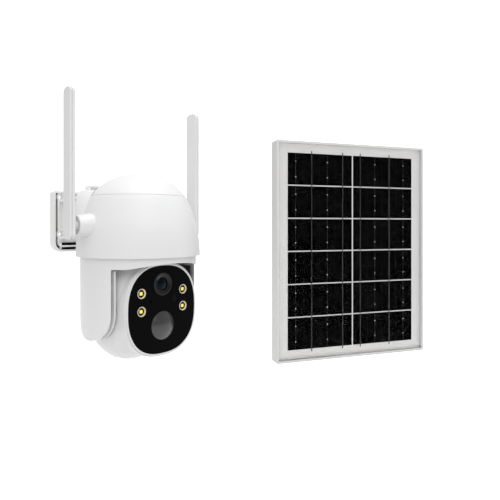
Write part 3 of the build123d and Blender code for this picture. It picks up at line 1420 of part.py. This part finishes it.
# solar panel
save("panel_frame", make_panel_frame())
save("panel_glass", make_panel_glass())
save("solar_cells", make_cells())
save("cell_ribbons", make_ribbons())
save("backsheet", make_backsheet())
save("back_plate", make_back_plate())
save("panel_screws", make_panel_screws() + make_saddle_screws())
save("saddle", make_saddle())
save("junction_box", [make_junction_box(), make_junction_lid(), make_junction_board()])
save("cable_gland", make_cable_gland())

# panel bracket
save("panel_arm", make_panel_arm())
save("tilt_bolt", make_tilt_bolt())
save("clamp_knob", make_clamp_knob())
save("panel_base", make_panel_base())
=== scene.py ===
import json
import math

import bmesh
import bpy
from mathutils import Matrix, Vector


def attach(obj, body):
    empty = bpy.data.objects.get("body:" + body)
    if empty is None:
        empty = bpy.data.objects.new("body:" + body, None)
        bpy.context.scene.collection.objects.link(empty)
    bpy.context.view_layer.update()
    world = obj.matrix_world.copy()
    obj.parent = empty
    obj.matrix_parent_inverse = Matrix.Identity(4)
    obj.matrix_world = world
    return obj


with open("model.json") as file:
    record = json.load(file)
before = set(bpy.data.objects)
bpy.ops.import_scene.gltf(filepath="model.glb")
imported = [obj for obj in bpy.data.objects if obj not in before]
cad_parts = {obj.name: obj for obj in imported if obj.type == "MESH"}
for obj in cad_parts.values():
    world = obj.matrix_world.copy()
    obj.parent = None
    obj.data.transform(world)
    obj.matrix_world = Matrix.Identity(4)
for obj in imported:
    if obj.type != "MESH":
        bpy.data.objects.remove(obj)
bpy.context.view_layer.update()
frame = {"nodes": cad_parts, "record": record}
record = frame["record"]

# ---------------------------------------------------------------- view

# place of the viewer in metres, and the turn of the view to the right of straight at the wall
EYE = Vector((-0.3015, -0.4881, -0.0045))
LOOK_YAW = 48.8
SENSOR_WIDTH = 36.0
# focal length and how far the horizon lies above the middle, both in widths of the picture
FOCAL = 1.0
HORIZON_RISE = 0.048
NEAREST_SEEN = 0.01


def make_camera():
    data = bpy.data.cameras.new("photo_camera")
    data.sensor_width = SENSOR_WIDTH
    data.lens = SENSOR_WIDTH * FOCAL
    data.clip_start = NEAREST_SEEN
    data.shift_y = -HORIZON_RISE
    camera = bpy.data.objects.new("photo_camera", data)
    bpy.context.scene.collection.objects.link(camera)
    camera.location = EYE
    camera.rotation_euler = (math.radians(90), 0, math.radians(-LOOK_YAW))
    bpy.context.scene.camera = camera


# ---------------------------------------------------------------- node material kit

class Material:
    """Small helper around one node material with a Principled shader."""

    def __init__(self, name, color, roughness, metallic=0.0, **sockets):
        self.data = bpy.data.materials.new(name)
        self.data.use_nodes = True
        self.nodes = self.data.node_tree.nodes
        self.links = self.data.node_tree.links
        self.shader = self.nodes["Principled BSDF"]
        self.shader.inputs["Base Color"].default_value = (*color, 1.0)
        self.shader.inputs["Roughness"].default_value = roughness
        self.shader.inputs["Metallic"].default_value = metallic
        for socket, value in sockets.items():
            self.shader.inputs[socket.replace("_", " ")].default_value = value
        self.coords = self.nodes.new("ShaderNodeTexCoord")
        self.bump_out = None

    def noise(self, scale, detail=4.0, stretch=None):
        node = self.nodes.new("ShaderNodeTexNoise")
        node.inputs["Scale"].default_value = scale
        node.inputs["Detail"].default_value = detail
        source = self.coords.outputs["Object"]
        if stretch:
            mapping = self.nodes.new("ShaderNodeMapping")
            mapping.inputs["Scale"].default_value = stretch
            self.links.new(source, mapping.inputs["Vector"])
            source = mapping.outputs["Vector"]
        self.links.new(source, node.inputs["Vector"])
        return node.outputs["Fac"]

    def ramp(self, value, low, high, start=0.3, end=0.7):
        node = self.nodes.new("ShaderNodeMapRange")
        node.inputs["From Min"].default_value = start
        node.inputs["From Max"].default_value = end
        node.inputs["To Min"].default_value = low
        node.inputs["To Max"].default_value = high
        self.links.new(value, node.inputs["Value"])
        return node.outputs["Result"]

    def mix(self, factor, first, second):
        node = self.nodes.new("ShaderNodeMix")
        node.data_type = "RGBA"
        self.links.new(factor, node.inputs["Factor"])
        node.inputs["A"].default_value = (*first, 1.0)
        node.inputs["B"].default_value = (*second, 1.0)
        return node.outputs["Result"]

    def color(self, output):
        self.links.new(output, self.shader.inputs["Base Color"])

    def roughness(self, output):
        self.links.new(output, self.shader.inputs["Roughness"])

    def bump(self, height, strength, distance):
        node = self.nodes.new("ShaderNodeBump")
        node.inputs["Strength"].default_value = strength
        node.inputs["Distance"].default_value = distance
        self.links.new(height, node.inputs["Height"])
        if self.bump_out:
            self.links.new(self.bump_out, node.inputs["Normal"])
        self.bump_out = node.outputs["Normal"]
        self.links.new(self.bump_out, self.shader.inputs["Normal"])


def moulded_plastic(name, color, roughness, grain=0.12, mottle=0.015):
    """Injection-moulded plastic: spark-eroded grain, faint tone drift and handling marks."""
    m = Material(name, color, roughness)
    darker = tuple(c * (1.0 - mottle) for c in color)
    lighter = tuple(min(1.0, c * (1.0 + mottle)) for c in color)
    m.color(m.mix(m.ramp(m.noise(18, 3), 0, 1), darker, lighter))
    m.roughness(m.ramp(m.noise(90, 5), roughness - 0.06, roughness + 0.06))
    m.bump(m.noise(2600, 2), grain, 0.00006)
    m.bump(m.noise(45, 2), 0.05, 0.0004)
    return m.data


def polished_plastic(name, color, roughness=0.08, specular=0.5):
    """Smooth plastic with a little tone drift, wipe marks in its gloss and a slow ripple."""
    m = Material(name, color, roughness)
    m.shader.inputs["Specular IOR Level"].default_value = specular
    lighter = tuple(min(1.0, c * 1.25) for c in color)
    m.color(m.mix(m.ramp(m.noise(24, 4), 0, 1), color, lighter))
    m.roughness(m.ramp(m.noise(160, 6), roughness * 0.6, roughness * 1.8, 0.35, 0.75))
    m.bump(m.noise(35, 2), 0.03, 0.0003)
    return m.data


def brushed_metal(name, color, roughness, stretch=(1, 1, 30)):
    """Metal with fine scratches drawn out along one direction."""
    m = Material(name, color, roughness, metallic=1.0)
    m.color(m.mix(m.ramp(m.noise(60, 5), 0, 1), tuple(c * 0.9 for c in color), color))
    m.roughness(m.ramp(m.noise(120, 6, stretch), roughness - 0.08, roughness + 0.12))
    m.bump(m.noise(400, 3, stretch), 0.15, 0.00003)
    return m.data


def rubber(name, color, specular=0.5):
    """Dull rubber with a fine grain."""
    m = Material(name, color, 0.75)
    m.shader.inputs["Specular IOR Level"].default_value = specular
    m.color(m.mix(m.ramp(m.noise(30, 4), 0, 1), tuple(c * 0.88 for c in color), color))
    m.roughness(m.ramp(m.noise(200, 4), 0.65, 0.85))
    m.bump(m.noise(1800, 3), 0.2, 0.00006)
    return m.data


def silicon(name):
    """Near-black cell with a faint cloudy tone and a slight blue cast."""
    m = Material(name, (0.0012, 0.0013, 0.0016), 0.45)
    m.shader.inputs["Specular IOR Level"].default_value = 0.02
    m.color(m.mix(m.ramp(m.noise(14, 4), 0, 1), (0.0010, 0.0011, 0.0014), (0.0018, 0.0019, 0.0024)))
    m.roughness(m.ramp(m.noise(70, 4), 0.4, 0.5))
    return m.data


def clear_glass(name):
    """Clear cover with a low index, so that the cells stay dark behind it."""
    m = Material(name, (1.0, 1.0, 1.0), 0.02, Transmission_Weight=1.0, IOR=1.03)
    m.roughness(m.ramp(m.noise(30, 4), 0.01, 0.05))
    return m.data


def coated_lens(name):
    """Dark lens glass with a faint blue anti-reflection coating."""
    m = Material(name, (0.0008, 0.0012, 0.002), 0.03, Coat_Weight=0.04, Coat_Roughness=0.01)
    m.shader.inputs["Specular IOR Level"].default_value = 0.08
    m.shader.inputs["Specular Tint"].default_value = (0.25, 0.7, 1.0, 1.0)
    m.shader.inputs["Coat Tint"].default_value = (0.35, 0.75, 1.0, 1.0)
    m.color(m.mix(m.ramp(m.noise(140, 2), 0, 1), (0.0005, 0.0008, 0.0015), (0.001, 0.0016, 0.003)))
    m.roughness(m.ramp(m.noise(90, 3), 0.02, 0.05))
    return m.data


def phosphor(name):
    """Yellow phosphor of a spotlight die, glowing faintly."""
    m = Material(name, (0.95, 0.8, 0.08), 0.4)
    m.shader.inputs["Emission Color"].default_value = (1.0, 0.85, 0.12, 1.0)
    m.shader.inputs["Emission Strength"].default_value = 0.35
    m.color(m.mix(m.ramp(m.noise(900, 3), 0, 1), (0.85, 0.62, 0.04), (1.0, 0.9, 0.2)))
    return m.data


def circuit_board(name):
    """Green board with a speckle of tracks under its lacquer."""
    m = Material(name, (0.02, 0.12, 0.06), 0.35, Coat_Weight=0.3)
    m.color(m.mix(m.ramp(m.noise(500, 1), 0, 1, 0.48, 0.52), (0.015, 0.1, 0.05), (0.03, 0.16, 0.08)))
    m.bump(m.noise(700, 1), 0.2, 0.00004)
    return m.data


MATERIALS = {
    "housing_white": moulded_plastic("shell_white", (0.83, 0.832, 0.832), 0.42),
    "antenna_white": moulded_plastic("antenna_white", (0.81, 0.812, 0.812), 0.45),
    "yoke_white": moulded_plastic("yoke_white", (0.84, 0.842, 0.842), 0.42),
    "bracket_white": moulded_plastic("bracket_white", (0.9, 0.9, 0.895), 0.5, grain=0.2),
    "face_black": polished_plastic("face_black", (0.001, 0.001, 0.0012), 0.16, specular=0.025),
    "lens_black": polished_plastic("lens_black", (0.003, 0.003, 0.0035), 0.28, specular=0.2),
    "lens_glass": coated_lens("coated_lens"),
    "led_cup": polished_plastic("led_cup", (0.75, 0.68, 0.52), 0.2),
    "led_die": phosphor("phosphor"),
    "pir_grey": moulded_plastic("sensor_grey", (0.031, 0.031, 0.033), 0.24, grain=0.03),
    "circuit": circuit_board("circuit"),
    "tinned_metal": brushed_metal("tinned_metal", (0.72, 0.72, 0.7), 0.35),
    "steel": brushed_metal("steel", (0.62, 0.62, 0.62), 0.32),
    "motor_metal": brushed_metal("motor_metal", (0.55, 0.55, 0.56), 0.4),
    "bearing_acetal": moulded_plastic("acetal", (0.78, 0.76, 0.7), 0.3),
    "rubber_grey": rubber("rubber_grey", (0.5, 0.5, 0.5)),
    "rubber_black": rubber("rubber_black", (0.003, 0.003, 0.003), specular=0.06),
    "battery_wrap": polished_plastic("battery_wrap", (0.05, 0.16, 0.42), 0.25),
    "panel_frame_white": moulded_plastic("frame_white", (0.72, 0.718, 0.712), 0.4),
    "solar_glass": clear_glass("solar_glass"),
    "silicon": silicon("silicon"),
    "ribbon": brushed_metal("ribbon", (0.085, 0.08, 0.076), 0.45),
    "backsheet_white": moulded_plastic("backsheet", (0.57, 0.565, 0.56), 0.35),
    "knob_black": moulded_plastic("knob_black", (0.03, 0.03, 0.03), 0.45, grain=0.3),
    "button_black": moulded_plastic("button_black", (0.012, 0.012, 0.013), 0.5, grain=0.3),
}


def paint_cad():
    """Gives each CAD piece the material of the slot that the record names for it."""
    slots = {part["node"]: part["material_slot"] for part in record["subparts"]}
    for node, obj in frame["nodes"].items():
        for i in range(max(1, len(obj.material_slots))):
            if obj.material_slots:
                obj.material_slots[i].material = MATERIALS[slots[node]]
            else:
                obj.data.materials.append(MATERIALS[slots[node]])


# ---------------------------------------------------------------- marks on the solar cells

# places across and down a cell, as parts of its width and height, and how many there are
LINE_STARTS = 0.118
LINE_STEP = 0.244
LINE_PLACES = 4
PAD_HEIGHTS = (0.26, 0.75)
DOTS_PER_COLUMN = 11
# sizes in metres
MARK_LIFT = 0.00008
PAD_SIZE = 0.0012
LINE_WIDTH = 0.0003
LINE_MARGIN = 0.0005
DOT_SIZE = 0.00035
DOT_STRETCH = 1.6
SAME_EDGE = 0.0001


def panel_axes():
    """Pivot of the panel's tilt, the direction across the panel, and the direction through it to its back."""
    joint = next(j for j in record["behaviour"]["joints"] if j["name"] == "panel_tilt")
    across = Vector(joint["axis"]).normalized()
    back = Vector((-across.y, across.x, 0.0))
    return Vector(joint["pos_m"]), across, back


def edges_of(values):
    """Sorted coordinates, with those that belong to one edge counted once."""
    found = []
    for value in sorted(values):
        if not found or value - found[-1] > SAME_EDGE:
            found.append(value)
    return found


def add_box(shell, place, x, z, width, height, front):
    """Thin raised mark on the cell face, centred at (x, z) in the panel's own plane."""
    pivot, across, back = place
    corners = []
    for depth in (front - MARK_LIFT, front):
        for dx, dz in ((-0.5, -0.5), (0.5, -0.5), (0.5, 0.5), (-0.5, 0.5)):
            point = pivot + across * (x + dx * width) + back * depth
            point.z += z + dz * height
            corners.append(shell.verts.new(point))
    a, b, c, d, e, f, g, h = corners
    for face in ((a, b, c, d), (h, g, f, e), (a, e, f, b), (b, f, g, c), (c, g, h, d), (d, h, e, a)):
        shell.faces.new(face)


def marks_object(name, boxes, place, front, material):
    """One object of many marks, moving with the panel."""
    shell = bmesh.new()
    for x, z, width, height in boxes:
        add_box(shell, place, x, z, width, height, front)
    bmesh.ops.recalc_face_normals(shell, faces=shell.faces)
    mesh = bpy.data.meshes.new(name)
    shell.to_mesh(mesh)
    shell.free()
    mesh.materials.append(material)
    marks = bpy.data.objects.new(name, mesh)
    bpy.context.scene.collection.objects.link(marks)
    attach(marks, "panel")


def make_cell_marks():
    """Printed collector lines, solder pads and finger dots on the twelve cells."""
    place = panel_axes()
    pivot, across, back = place
    cells = frame["nodes"]["solar_cells"]
    points = [cells.matrix_world @ vertex.co - pivot for vertex in cells.data.vertices]
    front = min(point.dot(back) for point in points)
    xs = edges_of([point.dot(across) for point in points])
    zs = edges_of([point.z for point in points])
    pads, lines, dots = [], [], []
    for column in range(len(xs) // 2):
        left, right = xs[2 * column], xs[2 * column + 1]
        for row in range(len(zs) // 2):
            low, high = zs[2 * row], zs[2 * row + 1]
            for line in range(LINE_PLACES):
                x = left + (right - left) * (LINE_STARTS + LINE_STEP * line)
                if (line + column) % 2 == 0:
                    lines.append((x, (low + high) / 2, LINE_WIDTH, high - low - 2 * LINE_MARGIN))
                    pads += [(x, high - (high - low) * part, PAD_SIZE, PAD_SIZE) for part in PAD_HEIGHTS]
                if line < LINE_PLACES - 1:
                    middle = x + (right - left) * LINE_STEP / 2
                    for dot in range(DOTS_PER_COLUMN):
                        z = low + (high - low) * (dot + 0.5) / DOTS_PER_COLUMN
                        dots.append((middle, z, DOT_SIZE, DOT_SIZE * DOT_STRETCH))
    marks_object("cell_pads", pads, place, front, brushed_metal("pad_silver", (0.62, 0.62, 0.6), 0.45))
    marks_object("cell_lines", lines, place, front, moulded_plastic("line_grey", (0.035, 0.035, 0.036), 0.5))
    marks_object("cell_dots", dots, place, front, moulded_plastic("dot_grey", (0.03, 0.03, 0.031), 0.5))


# ---------------------------------------------------------------- stage

DOME_RADIUS = 8.0
DOME_DETAIL = 4
DOME_STRENGTH = 1.0
WORLD_STRENGTH = 0.7
WHITE = (1.0, 1.0, 1.0, 1.0)
FLOOR_Z = -0.62
FLOOR_HALF = 8.0
FLOOR_GLOW = 0.9
LIGHT_TARGET = (0.1, -0.1, -0.03)
# name, place in metres, size across and along, power in watts
LIGHTS = (
    ("key", (-0.75, -1.45, 1.0), (1.0, 1.0), 6),
    ("fill", (1.3, -1.3, 0.5), (1.0, 1.0), 0.3),
    ("top", (0.1, -0.3, 1.5), (1.2, 0.8), 11),
)


def area_light(name, location, size, power):
    """Soft rectangular light aimed at LIGHT_TARGET."""
    data = bpy.data.lights.new(name, "AREA")
    data.shape = "RECTANGLE"
    data.size = size[0]
    data.size_y = size[1]
    data.energy = power
    light = bpy.data.objects.new(name, data)
    light.location = location
    direction = Vector(LIGHT_TARGET) - Vector(location)
    light.rotation_euler = direction.to_track_quat("-Z", "Y").to_euler()
    bpy.context.scene.collection.objects.link(light)


def make_world():
    """Even white light from all round, and the plain Standard view transform."""
    world = bpy.data.worlds.new("studio")
    world.use_nodes = True
    background = world.node_tree.nodes["Background"]
    background.inputs["Color"].default_value = WHITE
    background.inputs["Strength"].default_value = WORLD_STRENGTH
    bpy.context.scene.world = world
    bpy.context.scene.view_settings.view_transform = "Standard"


def make_floor():
    """Pale glowing floor, seen by the camera and in reflections but left out of the diffuse light."""
    mesh = bpy.data.meshes.new("floor")
    half = FLOOR_HALF
    corners = [(-half, -half, FLOOR_Z), (half, -half, FLOOR_Z), (half, half, FLOOR_Z), (-half, half, FLOOR_Z)]
    mesh.from_pydata(corners, [], [(0, 1, 2, 3)])
    floor = bpy.data.objects.new("floor", mesh)
    bpy.context.scene.collection.objects.link(floor)
    m = Material("floor_pale", (0.92, 0.92, 0.92), 0.6)
    m.roughness(m.ramp(m.noise(3, 3), 0.55, 0.65))
    m.shader.inputs["Emission Color"].default_value = WHITE
    m.shader.inputs["Emission Strength"].default_value = FLOOR_GLOW
    mesh.materials.append(m.data)
    floor.visible_diffuse = False


def make_dome():
    """Bright studio shell round everything, seen by the camera and lighting nothing."""
    mesh = bpy.data.meshes.new("dome")
    shell = bmesh.new()
    bmesh.ops.create_icosphere(shell, subdivisions=DOME_DETAIL, radius=DOME_RADIUS)
    shell.to_mesh(mesh)
    shell.free()
    dome = bpy.data.objects.new("dome", mesh)
    bpy.context.scene.collection.objects.link(dome)
    m = Material("dome_white", WHITE[:3], 1.0)
    m.shader.inputs["Emission Color"].default_value = WHITE
    m.shader.inputs["Emission Strength"].default_value = DOME_STRENGTH
    mesh.materials.append(m.data)
    dome.visible_diffuse = False
    dome.visible_glossy = False
    dome.visible_transmission = False
    dome.visible_shadow = False


paint_cad()
make_cell_marks()
make_camera()
make_world()
make_floor()
for light in LIGHTS:
    area_light(*light)
make_dome()
